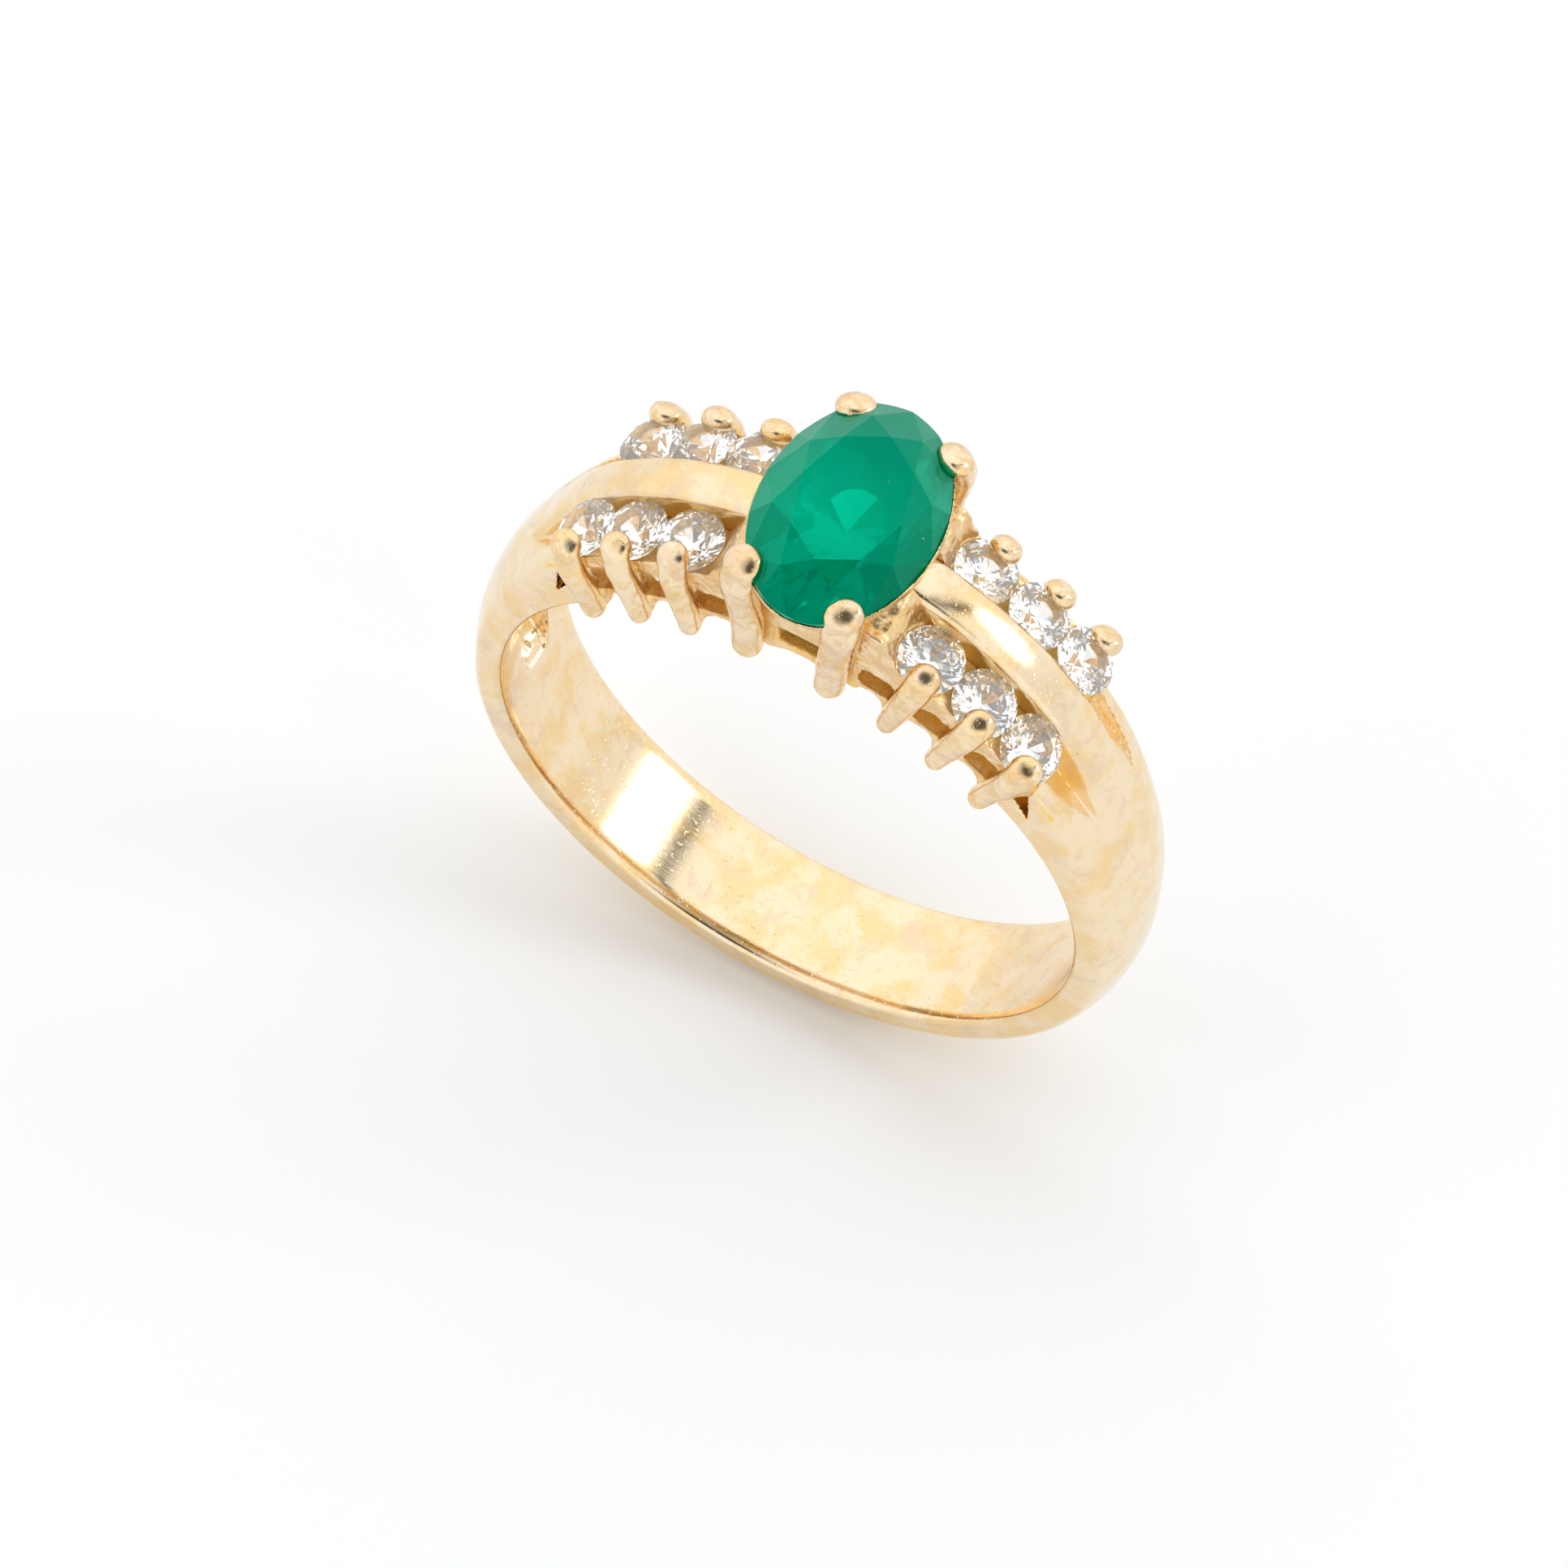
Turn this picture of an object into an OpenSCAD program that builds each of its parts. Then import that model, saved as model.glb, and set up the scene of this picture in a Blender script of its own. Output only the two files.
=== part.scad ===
// Dress ring in yellow gold: an oval centre stone between two ribbons, with a row of
// three small brilliants on each side of each ribbon.
// Frame: +Y runs along the finger, +Z points through the centre stone, +X is to the right
// when the stone faces the reader. The origin is the centre of the finger bore. Millimetres.
// Angles named "_deg" are measured about the finger axis from +Z, positive towards +X.

/* [Finger bore and band] */
// Radius of the finger bore
bore_r = 8.75; // [8.5:0.05:9]
// Radius to the top of the crown at the bottom of the band
band_r = 10.1; // [9.9:0.05:10.3]
// Radius of the curve across the band's crown
crown_r = 3.4; // [3.2:0.1:4.5]
// Half the band's width level with the centre of the bore
band_half_w = 1.92; // [1.8:0.01:2.05]
// Growth of the half width for each millimetre of height
band_taper = 0.0175; // [0.01:0.0005:0.02]

/* [Shoulders and ribbons] */
// Angle where the shank stops and the ribbons and galleries begin
shoulder_deg = 42; // [41.5:0.25:43]
// Height of the centre of the ribbon's curve above the centre of the bore
ribbon_z = 3.9; // [3.7:0.1:4.1]
// Radius of the ribbon's curve to its top
ribbon_r = 8.95; // [8.8:0.05:9.1]
// Width of a ribbon
ribbon_w = 1.4; // [1.2:0.05:1.5]
// Thickness of a ribbon
ribbon_t = 1.3; // [1.1:0.05:1.5]
// Width of the hollow under each shoulder
hollow_w = 1.4; // [1:0.1:1.5]
// Angle where the hollow under each shoulder ends
hollow_end_deg = 100; // [80:1:102]

/* [Centre stone] */
// Length of the oval along the finger
centre_len = 7; // [6.8:0.05:7.1]
// Width of the oval across the finger
centre_w = 5; // [4.8:0.05:5.1]
// Height of the stone's girdle above the centre of the bore
centre_z = 13.65; // [13.5:0.05:13.8]
// Rise of the stone's back edge, as it sits in its claws
centre_back_up_deg = 2.2; // [0:0.1:3]
// Rise of the stone's left edge, as it sits in its claws
centre_left_up_deg = 2.9; // [0:0.1:3]

/* [Accent stones] */
// Diameter of an accent brilliant
accent_d = 1.84; // [1.7:0.01:1.85]
// Angle of the first stone of a row
accent_first_deg = 17.1; // [17:0.1:17.4]
// Angle from one stone of a row to the next
accent_pitch_deg = 9.2; // [9.2:0.05:9.4]
// Radius to the girdle of the first stone
accent_r = 11.84; // [11.8:0.01:11.9]
// Drop of the girdle from each stone to the next
accent_drop = 0.215; // [0.2:0.005:0.23]
// Distance of a row from the middle of the ring
accent_y = 1.55; // [1.53:0.01:1.6]
// Outward lean of the accent stones
accent_tilt_deg = 8; // [4:1:12]

/* [Claws] */
// Width of a claw that holds the centre stone
main_claw_w = 1; // [0.9:0.05:1.05]
// Width of a claw that holds an accent stone
accent_claw_w = 0.76; // [0.72:0.01:0.82]

/* [Hidden] */
$fn = 96;
// Longer than anything here, for cuts that go right through.
far = 30;
// Gap between a stone or a claw and the metal round it.
seat_gap = 0.015;

// Crown line of the shoulder: a wider arc that leaves the band's own circle at this angle.
swell_deg = 95;
swell_shift = 3;
// How far out the hollow under a shoulder reaches.
hollow_top_r = 9.7;

// Corners of the triangular piercing past the last claw of a row, as [angle, radius].
piercing = [[41.9, 9.7], [41.9, 10.35], [47.8, 9.45]];

// Channel beside the ribbon, from where it leaves the setting to where it runs out.
channel_deg = 50;
channel_floor_r = 10.1;
channel_y = 1.02;
channel_slope_deg = 6;
channel_plan = [[-2.2, -0.36], [-2.2, 0.3], [1.3, 0.18]];

// The two left rows were set by hand a little off the places of the right ones.
left_front_shift_deg = 1.5;
left_back_shift_deg = -0.5;
left_front_foot_deg = 0.5;
left_back_claw_deg = -1.3;

// Accent claws stand one to a stone, with their feet further round than their tips.
claw_foot_first_deg = 18;
claw_foot_pitch_deg = 10.2;
claw_foot_r = 9.22;
claw_foot_y = 2.46;
claw_tip_ahead_deg = 0.5;
claw_tip_out = 0.93;
claw_tip_up = 0.16;
claw_bead_up = 0.16;
claw_bead_in = 0.2;

// The front and back walls of a gallery lean outwards as they rise.
wall_foot_r = 9.02;
wall_foot_y = 2.2;
wall_top_y = 2.32;
wall_t = 0.6;
shelf_low_r = 10.45;
shelf_top_r = 11.55;
head_half_w = 1.75;

// The accent rows run on a circle of their own, a little off the centre of the bore.
row_x = -0.96;
row_z = 1.01;
row_r = 11.22;
shelf_under_girdle = 0.32;

scallop_r = 0.56;
scallop_z = 8.9;
window_w = 0.98;
window_h = 0.9;
window_r = 10.2;
window_corner = 0.24;

// Metal that closes the gap between the cup and the first stone, as [angle, radius].
rise_outline = [[7, 10.6], [7, 12.75], [10.8, 12.65], [15.5, 11.25], [15.5, 10.6]];

// Head under the centre stone: an oval cup on a box, hollow inside, with an arch over the
// finger and a slot at the front and the back.
head_wall_y = 2.42;
head_oval = [2.42, 3.2];
head_oval_low_z = 12.2;
head_flare_z = [12.4, 13.6];
head_hollow = [2.6, 3.6];
head_hollow_top_z = 11.9;
head_slot_w = 1.24;
head_slot_z = [9.65, 10.4];
head_arch_r = 1.45;
head_arch_z = 7.9;

// Centre stone: heights above and below the girdle, and the share of the width that is table.
centre_crown = 0.95;
centre_pavilion = 2.45;
centre_girdle = 0.14;
centre_table = 0.6;

// Accent stones, as shares of their diameter.
accent_crown = 0.16 * accent_d;
accent_pavilion = 0.43 * accent_d;
accent_girdle = 0.03 * accent_d;
accent_table = 0.56;
// Hole drilled through the metal under each accent stone.
drill_r = 0.42;
drill_depth = 3.2;

// Foot, bend and tip of a claw of the centre stone, and how far the head's twist moves them.
main_foot = [1.24, 2.5, 9.23];
main_knee = [1.6, 2.92, 13.1];
main_tip = [1.5, 2.72, 13.82];
main_twist = 0.18;
claw_taper = 0.92;
// The ball at a claw's bend or end is a little fuller than the bar it closes.
ball_share = 1.04;

SIDES = ["left", "right"];
FACES = ["front", "back"];
STONES = [1, 2, 3];

function side_sign(side) = side == "left" ? -1 : 1;
function face_sign(face) = face == "front" ? -1 : 1;
function row_shift_deg(face, side) =
    side == "right" ? 0 : face == "front" ? left_front_shift_deg : left_back_shift_deg;
function foot_shift_deg(face, side) =
    side == "left" && face == "front" ? left_front_foot_deg : tip_shift_deg(face, side);
function tip_shift_deg(face, side) = side == "left" && face == "back" ? left_back_claw_deg : 0;
function accent_deg(i) = accent_first_deg + (i - 1) * accent_pitch_deg;
function accent_girdle_r(i) = accent_r - (i - 1) * accent_drop;
function claw_foot_deg(i) = claw_foot_first_deg + (i - 1) * claw_foot_pitch_deg;
function polar(deg, r, y) = [r * sin(deg), y, r * cos(deg)];

// ---- placing ----

// Stands children on the circle of radius r, with their +Z pointing away from the finger.
module around(deg, r, y) {
    rotate([0, deg, 0]) translate([0, y, r]) children();
}

// Turns a flat section, drawn as [radius, y], about the finger axis from one angle to another.
module revolve(from_deg, to_deg) {
    rotate([-90, 0, 0]) rotate([0, 0, from_deg - 90])
        rotate_extrude(angle = to_deg - from_deg) children();
}

// Repeats a front right piece in the other three quarters of the setting.
module quarter(face, side) {
    mirror([side == "left" ? 1 : 0, 0, 0]) mirror([0, face == "back" ? 1 : 0, 0]) children();
}

// ---- stones ----

// A brilliant cut of unit girdle radius has eight main facets above and below.
// Its corner points lie on the main facets' planes, so every facet is flat.
function cut_ring(r, z, first) =
    [for (k = [0:7]) [r * cos(45 * k + first), r * sin(45 * k + first), z]];

function cut_points(crown, pavilion, girdle, table) =
    let (
        slope = crown / (1 - table),
        low_slope = pavilion,
        star_r = (1 + table) / 2 * 0.98,
        lower_r = 0.28,
        half = cos(22.5)
    )
    concat(
        cut_ring(table, girdle / 2 + crown, 0),
        cut_ring(star_r, girdle / 2 + (1 - star_r * half) * slope, 22.5),
        [for (k = [0:15]) [cos(22.5 * k), sin(22.5 * k), girdle / 2]],
        [for (k = [0:15]) [cos(22.5 * k), sin(22.5 * k), -girdle / 2]],
        cut_ring(lower_r, -girdle / 2 - (1 - lower_r * half) * low_slope, 22.5),
        [[0, 0, -girdle / 2 - low_slope]]
    );

function cut_faces() =
    let (top = 0, star = 8, upper = 16, under = 32, lower = 48, culet = 56)
    concat(
        [[for (k = [7:-1:0]) top + k]],
        [for (k = [0:7]) [top + k, top + (k + 1) % 8, star + k]],
        [for (k = [0:7]) [top + k, star + k, upper + 2 * k]],
        [for (k = [0:7]) [top + k, upper + 2 * k, star + (k + 7) % 8]],
        [for (k = [0:7]) [star + k, upper + 2 * k + 1, upper + 2 * k]],
        [for (k = [0:7]) [star + k, upper + (2 * k + 2) % 16, upper + 2 * k + 1]],
        [for (k = [0:15]) [upper + k, upper + (k + 1) % 16, under + (k + 1) % 16]],
        [for (k = [0:15]) [upper + k, under + (k + 1) % 16, under + k]],
        [for (k = [0:7]) [lower + k, under + 2 * k, under + 2 * k + 1]],
        [for (k = [0:7]) [lower + k, under + 2 * k + 1, under + (2 * k + 2) % 16]],
        [for (k = [0:7]) [lower + k, culet, under + 2 * k]],
        [for (k = [0:7]) [lower + k, under + (2 * k + 2) % 16, culet]]
    );

// rx and ry are the girdle's half axes; crown, pavilion and girdle are heights in millimetres.
module cut_stone(rx, ry, crown, pavilion, girdle, table) {
    polyhedron(
        points = [for (p = cut_points(crown, pavilion, girdle, table)) [p[0] * rx, p[1] * ry, p[2]]],
        faces = cut_faces()
    );
}

module accent_brilliant() {
    r = accent_d / 2;
    cut_stone(r, r, accent_crown, accent_pavilion, accent_girdle, accent_table);
}

// The room an accent stone takes in the metal round it: its girdle and cone, and the
// drilled hole below the point.
module accent_room() {
    r = accent_d / 2 + seat_gap;
    low = -accent_girdle / 2 - seat_gap;
    translate([0, 0, low]) cylinder(r = r, h = 2);
    translate([0, 0, low - accent_pavilion]) cylinder(r1 = 0.02, r2 = r, h = accent_pavilion);
    translate([0, 0, -drill_depth]) cylinder(r = drill_r, h = drill_depth);
}

// The room kept under an accent claw's bead: the stone's girdle with its crown above it.
module accent_body() {
    r = accent_d / 2 + seat_gap;
    low = -accent_girdle / 2 - seat_gap;
    high = accent_girdle / 2 + seat_gap;
    translate([0, 0, low]) cylinder(r = r, h = high - low);
    translate([0, 0, high]) cylinder(r1 = r, r2 = r * accent_table, h = accent_crown);
    translate([0, 0, low - accent_pavilion]) cylinder(r1 = 0.02, r2 = r, h = accent_pavilion);
}

module place_accent(i) {
    around(accent_deg(i), accent_girdle_r(i), -accent_y) rotate([accent_tilt_deg, 0, 0]) children();
}

// Turns a row, drawn for the front right, to the place of its own quarter.
module row_shift(face, side) {
    rotate([0, row_shift_deg(face, side), 0]) children();
}

module centre_oval(grow) {
    translate([0, 0, centre_z]) rotate([centre_back_up_deg, centre_left_up_deg, 0])
        cut_stone(centre_w / 2 + grow, centre_len / 2 + grow,
            centre_crown + grow, centre_pavilion + grow, centre_girdle + 2 * grow, centre_table);
}

// ---- band and shoulders ----

// Section of the band: flat inside, crowned outside, with its top at radius top_r.
module crowned_section(top_r, low_r) {
    intersection() {
        translate([top_r - crown_r, 0]) circle(r = crown_r);
        translate([low_r, -2.2]) square([far, 4.4]);
    }
}

// Everything between the band's two side faces, which spread slightly towards the stones.
module band_width() {
    low = band_half_w - band_taper * far;
    high = band_half_w + band_taper * far;
    rotate([90, 0, 90]) linear_extrude(height = 2 * far, center = true)
        polygon([[-low, -far], [low, -far], [high, far], [-high, far]]);
}

// One shoulder, swelling from the band's circle up towards the ribbon.
module shoulder_swell() {
    translate(polar(swell_deg, -swell_shift, 0))
        revolve(30, 120) crowned_section(band_r + swell_shift, 8);
}

module ribbon_crest() {
    translate([0, 0, ribbon_z]) revolve(30, 110) crowned_section(ribbon_r, 4);
}

module shoulder_piercing() {
    rotate([90, 0, 0]) linear_extrude(height = far)
        polygon([for (p = piercing) [p[1] * sin(p[0]), p[1] * cos(p[0])]]);
}

// The end of a channel, which runs out to a point on the shoulder.
module channel_tail() {
    around(channel_deg, channel_floor_r, -channel_y) rotate([0, channel_slope_deg, 0])
        linear_extrude(height = 2) polygon(channel_plan);
}

module shank() color("goldenrod") {
    difference() {
        intersection() {
            union() {
                revolve(swell_deg, 360 - swell_deg) crowned_section(band_r, 8);
                for (s = [0, 1]) mirror([s, 0, 0]) intersection() {
                    union() {
                        shoulder_swell();
                        ribbon_crest();
                    }
                    revolve(shoulder_deg, swell_deg) translate([5, -3]) square([10, 6]);
                }
            }
            band_width();
        }
        rotate([90, 0, 0]) cylinder(r = bore_r, h = far, center = true);
        for (s = [0, 1]) mirror([s, 0, 0]) {
            revolve(30, hollow_end_deg) translate([8, -hollow_w / 2])
                square([hollow_top_r - 8, hollow_w]);
            for (b = [0, 1]) mirror([0, b, 0]) {
                shoulder_piercing();
                channel_tail();
            }
        }
    }
}

// ---- ribbons ----

module ribbon(side) color("goldenrod") {
    difference() {
        quarter("front", side) intersection() {
            translate([0, 0, ribbon_z]) revolve(0, 90) intersection() {
                crowned_section(ribbon_r, ribbon_r - ribbon_t);
                translate([0, -ribbon_w / 2]) square([far, ribbon_w]);
            }
            revolve(5, shoulder_deg) translate([5, -3]) square([12, 6]);
        }
        centre_oval(seat_gap);
        head_block();
        for (f = FACES, i = STONES)
            quarter(f, side) row_shift(f, side) place_accent(i) accent_room();
    }
}

// ---- galleries ----

// Section of a gallery: the leaning outer wall with the shelf that the stones are set in.
module gallery_section() {
    polygon([
        [wall_foot_r, -wall_foot_y],
        [shelf_top_r + 0.4, -wall_top_y],
        [shelf_top_r + 0.4, -ribbon_w / 2],
        [shelf_low_r, -ribbon_w / 2],
        [shelf_low_r, -wall_foot_y + wall_t - 0.1],
        [wall_foot_r, -wall_foot_y + wall_t]
    ]);
}

module gallery_window() {
    straight_w = window_w - 2 * window_corner;
    straight_h = window_h - 2 * window_corner;
    translate([0, 0, window_r]) rotate([90, 0, 0]) linear_extrude(height = far) {
        square([window_w, straight_h], center = true);
        square([straight_w, window_h], center = true);
        for (x = [-0.5, 0.5], z = [-0.5, 0.5])
            translate([x * straight_w, z * straight_h]) circle(r = window_corner);
    }
}

// The part of a gallery that rises beside the cup, above the shelf.
module gallery_rise() {
    rise_w = wall_top_y - 0.1 - ribbon_w / 2;
    translate([0, -ribbon_w / 2, 0]) rotate([90, 0, 0]) linear_extrude(height = rise_w)
        polygon([for (p = rise_outline) [p[1] * sin(p[0]), p[1] * cos(p[0])]]);
}

module gallery(face, side) color("darkgoldenrod") {
    quarter(face, side) difference() {
        union() {
            intersection() {
                revolve(5, shoulder_deg) gallery_section();
                translate([row_x, 0, row_z]) rotate([90, 0, 0])
                    cylinder(r = row_r - shelf_under_girdle, h = 10, center = true);
            }
            gallery_rise();
        }
        translate([-far + head_half_w, -far / 2, 0]) cube([far, far, far]);
        head_block();
        translate([0, 0, ribbon_z]) revolve(0, 90) translate([ribbon_r - ribbon_t, -ribbon_w / 2])
            square([far, ribbon_w]);
        row_shift(face, side) for (i = STONES) {
            place_accent(i) accent_room();
            accent_claw_solid(face, side, i, seat_gap);
            rotate([0, claw_foot_deg(i) - claw_foot_pitch_deg / 2, 0]) {
                translate([0, 0, scallop_z]) rotate([90, 0, 0]) cylinder(r = scallop_r, h = far);
                gallery_window();
            }
        }
        centre_claw_solid(face, side, seat_gap);
    }
}

// ---- centre head ----

// Outer form of the head below the centre stone.
module head_block() {
    oval_top_z = centre_z - 0.1;
    translate([-head_half_w, -head_wall_y, wall_foot_r])
        cube([2 * head_half_w, 2 * head_wall_y, 3.4]);
    translate([0, 0, head_oval_low_z]) linear_extrude(height = oval_top_z - head_oval_low_z)
        polygon([for (a = [0:7.5:352.5]) [head_oval[0] * cos(a), head_oval[1] * sin(a)]]);
}

// Side outline of the head: its walls lean out, then flare under the ends of the stone.
module head_side() {
    lean_y = wall_top_y + 0.05;
    flare_y = head_oval[1] + 0.1;
    rotate([0, 90, 0]) linear_extrude(height = far, center = true)
        polygon([
            [-wall_foot_r, -wall_foot_y], [-wall_foot_r, wall_foot_y],
            [-head_flare_z[0], lean_y], [-head_flare_z[1], flare_y],
            [-head_flare_z[1], -flare_y], [-head_flare_z[0], -lean_y]
        ]);
}

module centre_head() color("darkgoldenrod") {
    difference() {
        intersection() {
            head_block();
            head_side();
        }
        rotate([90, 0, 0]) cylinder(r = wall_foot_r - 0.1, h = far, center = true);
        centre_oval(seat_gap);
        translate([-head_hollow[0] / 2, -head_hollow[1] / 2, 0])
            cube([head_hollow[0], head_hollow[1], head_hollow_top_z]);
        translate([-head_slot_w / 2, -far / 2, head_slot_z[0]])
            cube([head_slot_w, far, head_slot_z[1] - head_slot_z[0]]);
        translate([0, 0, head_arch_z]) rotate([90, 0, 0])
            cylinder(r = head_arch_r, h = far, center = true);
        for (f = FACES, s = SIDES) quarter(f, s) centre_claw_solid(f, s, seat_gap);
    }
}

// ---- claws ----

// A round bar between two points, with a ball at its far end.
module bar(a, b, r1, r2) {
    d = b - a;
    len = norm(d);
    translate(a) rotate([0, acos(d[2] / len), atan2(d[1], d[0])]) cylinder(r1 = r1, r2 = r2, h = len);
    translate(b) sphere(r = r2 * ball_share);
}

module accent_claw_solid(face, side, i, grow) {
    r = accent_claw_w / 2 + grow;
    foot = polar(claw_foot_deg(i) + foot_shift_deg(face, side), claw_foot_r, -claw_foot_y);
    tip_deg = accent_deg(i) + claw_tip_ahead_deg + tip_shift_deg(face, side);
    tip_r = accent_girdle_r(i) + claw_tip_up;
    tip_y = -accent_y - claw_tip_out;
    tip = polar(tip_deg, tip_r, tip_y);
    bead = polar(tip_deg, tip_r + claw_bead_up, tip_y + claw_bead_in);
    translate(foot) sphere(r = r * ball_share);
    bar(foot, tip, r, r);
    bar(tip, bead, r, r * claw_taper);
}

module accent_claw(face, side, i) color("gold") {
    quarter(face, side) row_shift(face, side) difference() {
        accent_claw_solid(face, side, i, 0);
        place_accent(i) accent_body();
        rotate([90, 0, 0]) cylinder(r = bore_r, h = far, center = true);
    }
}

// A point of a centre claw, moved to the front right quarter and along with the head's twist.
// Its height follows the stone's lean by the share that the point has risen to the tip.
function main_point(p, face, side) =
    let (
        share = (p[2] - main_foot[2]) / (main_tip[2] - main_foot[2]),
        back_up = face_sign(face) * p[1] * sin(centre_back_up_deg),
        left_up = -side_sign(side) * p[0] * sin(centre_left_up_deg)
    )
    [p[0] + main_twist * face_sign(face) * side_sign(side), -p[1], p[2] + share * (back_up + left_up)];

module centre_claw_solid(face, side, grow) {
    r = main_claw_w / 2 + grow;
    foot = main_point(main_foot, face, side);
    knee = main_point(main_knee, face, side);
    tip = main_point(main_tip, face, side);
    translate(foot) sphere(r = r * claw_taper * ball_share);
    bar(foot, knee, r * claw_taper, r);
    bar(knee, tip, r, r * claw_taper);
}

module centre_claw(face, side) color("gold") {
    difference() {
        quarter(face, side) centre_claw_solid(face, side, 0);
        centre_oval(seat_gap);
        rotate([90, 0, 0]) cylinder(r = bore_r, h = far, center = true);
    }
}

// ---- stones in place ----

module centre_stone() color("seagreen") centre_oval(0);

module accent_stone(face, side, i) color("whitesmoke")
    quarter(face, side) row_shift(face, side) place_accent(i) accent_brilliant();

shank();
for (s = SIDES) ribbon(s);
centre_head();
for (f = FACES, s = SIDES) {
    gallery(f, s);
    centre_claw(f, s);
    for (i = STONES) {
        accent_claw(f, s, i);
        accent_stone(f, s, i);
    }
}
centre_stone();
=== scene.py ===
"""Looks for a gold dress ring with an oval green centre stone and twelve small brilliants.

Every metal piece is a smooth surface round a formula (negative inside the metal, positive
outside), because a cast and hand-finished ring has soft edges that flow into each other.
Lengths are millimetres until a mesh is made. The frame is the CAD's: +Y along the finger,
+Z through the centre stone, origin in the middle of the finger bore.
"""
import functools
import math

import bmesh
import bpy
import numpy as np
from mathutils import Matrix, Quaternion, Vector


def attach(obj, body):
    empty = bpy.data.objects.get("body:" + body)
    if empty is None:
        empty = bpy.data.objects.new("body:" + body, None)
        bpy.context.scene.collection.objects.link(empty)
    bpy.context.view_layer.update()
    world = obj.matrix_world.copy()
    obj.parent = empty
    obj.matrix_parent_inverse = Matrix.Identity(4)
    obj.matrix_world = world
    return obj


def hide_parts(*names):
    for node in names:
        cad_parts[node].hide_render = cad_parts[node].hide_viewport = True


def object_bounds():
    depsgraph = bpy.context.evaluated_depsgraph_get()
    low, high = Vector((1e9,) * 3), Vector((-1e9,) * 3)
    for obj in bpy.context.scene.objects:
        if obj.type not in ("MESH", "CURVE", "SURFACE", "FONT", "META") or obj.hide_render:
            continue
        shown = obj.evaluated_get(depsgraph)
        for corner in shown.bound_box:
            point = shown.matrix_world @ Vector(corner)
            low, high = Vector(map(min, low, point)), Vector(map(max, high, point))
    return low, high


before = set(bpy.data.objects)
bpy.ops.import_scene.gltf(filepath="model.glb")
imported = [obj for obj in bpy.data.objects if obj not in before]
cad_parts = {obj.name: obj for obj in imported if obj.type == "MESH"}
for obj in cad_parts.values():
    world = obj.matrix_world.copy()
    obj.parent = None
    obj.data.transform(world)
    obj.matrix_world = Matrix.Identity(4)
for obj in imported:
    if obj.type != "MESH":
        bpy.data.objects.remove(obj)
cad_low, cad_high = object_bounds()

MM = 0.001

# ---- sizes, as in the CAD ----
BORE_R = 8.75
BAND_R = 10.1
CROWN_R = 3.4
HALF_W = 1.92
TAPER = 0.0175
SHOULDER = math.radians(42)
SWELL_FROM = math.radians(95)
SWELL_SHIFT = 3.0
RIBBON_Z = 3.9
RIBBON_R = 8.95
RIBBON_HALF_W = 0.7
RIBBON_T = 1.3
HOLLOW_HALF_W = 0.7
HOLLOW_TOP_R = 9.7

WALL_FOOT_R = 9.02
WALL_FOOT_Y = 2.2
WALL_LEAN = 0.041
WALL_T = 0.66
SHELF_LOW_R = 10.45
ROW_X, ROW_Z, ROW_R = -0.96, 1.01, 11.22
SHELF_UNDER_GIRDLE = 0.32
WINDOW_R, WINDOW_HALF_W, WINDOW_HALF_H, WINDOW_CORNER = 10.2, 0.25, 0.21, 0.27
ARCH_CENTRE_R, ARCH_R = 8.9, 0.63

HEAD_HALF_W = 1.75
HEAD_BOX_TOP = 12.3
HEAD_SLOT_Z, HEAD_SLOT_HALF_W, HEAD_SLOT_HALF_H = 10.03, 0.66, 0.36
HEAD_ARCH_Z, HEAD_ARCH_R = 7.9, 1.45
CUP_RIM_Z = 13.56

CENTRE_W, CENTRE_LEN, CENTRE_Z = 5.0, 7.0, 13.65
CENTRE_CROWN, CENTRE_PAVILION, CENTRE_GIRDLE, CENTRE_TABLE = 0.95, 2.45, 0.14, 0.6
CENTRE_BACK_UP = math.radians(2.2)
CENTRE_LEFT_UP = math.radians(2.9)

ACCENT_D = 1.84
ACCENT_FIRST = 17.1
ACCENT_PITCH = 9.2
ACCENT_R = 11.84
ACCENT_DROP = 0.215
ACCENT_Y = 1.55
ACCENT_TILT = math.radians(8)
ACCENT_CROWN, ACCENT_PAVILION, ACCENT_GIRDLE = 0.16 * ACCENT_D, 0.43 * ACCENT_D, 0.03 * ACCENT_D
ACCENT_TABLE = 0.56

CLAW_FOOT_FIRST = 18.0
CLAW_FOOT_PITCH = 10.2
CLAW_FOOT_R = 9.1
CLAW_FOOT_Y = 2.46
CLAW_TIP_PAST = 0.5

# The claws of the centre stone follow its lean, more the higher they are above the level z.
MAIN_CLAW_FOOT = (1.24, 2.5, 9.3)
MAIN_CLAW_TIP = (1.5, 2.75, 13.82)
MAIN_CLAW_LEVEL_Z = 9.23

SIDES = ("left", "right")
FACES = ("front", "back")
STONES = (1, 2, 3)

# The two left rows were set by hand a little off the places of the right ones, in degrees.
ROW_SHIFT = {("front", "left"): 1.5, ("back", "left"): -0.5}
FOOT_SHIFT = {("front", "left"): 0.5, ("back", "left"): -1.3}
TIP_SHIFT = {("back", "left"): -1.3}
TIP_DROP = {("front", "left"): 0.1}
LEFT_PIERCING_SHIFT = 3.0

# Only in this model, the brilliants are 2 percent wider than the CAD's, and the claws stand just
# clear of the stones and of the bore.
ACCENT_GIRDLE_R = ACCENT_D / 1.96
STONE_GAP = 0.012
BORE_GAP = 0.02

# Curved pieces are drawn unrolled: s is the distance round a circle of radius UNROLL_R, where a
# degree is ARC_PER_DEGREE long. DEGREE is in radians.
UNROLL_R = 10
ARC_PER_DEGREE = 0.175
DEGREE = 0.01745
COS_45 = 0.7071


# ---- surfaces from formulas ----

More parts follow.
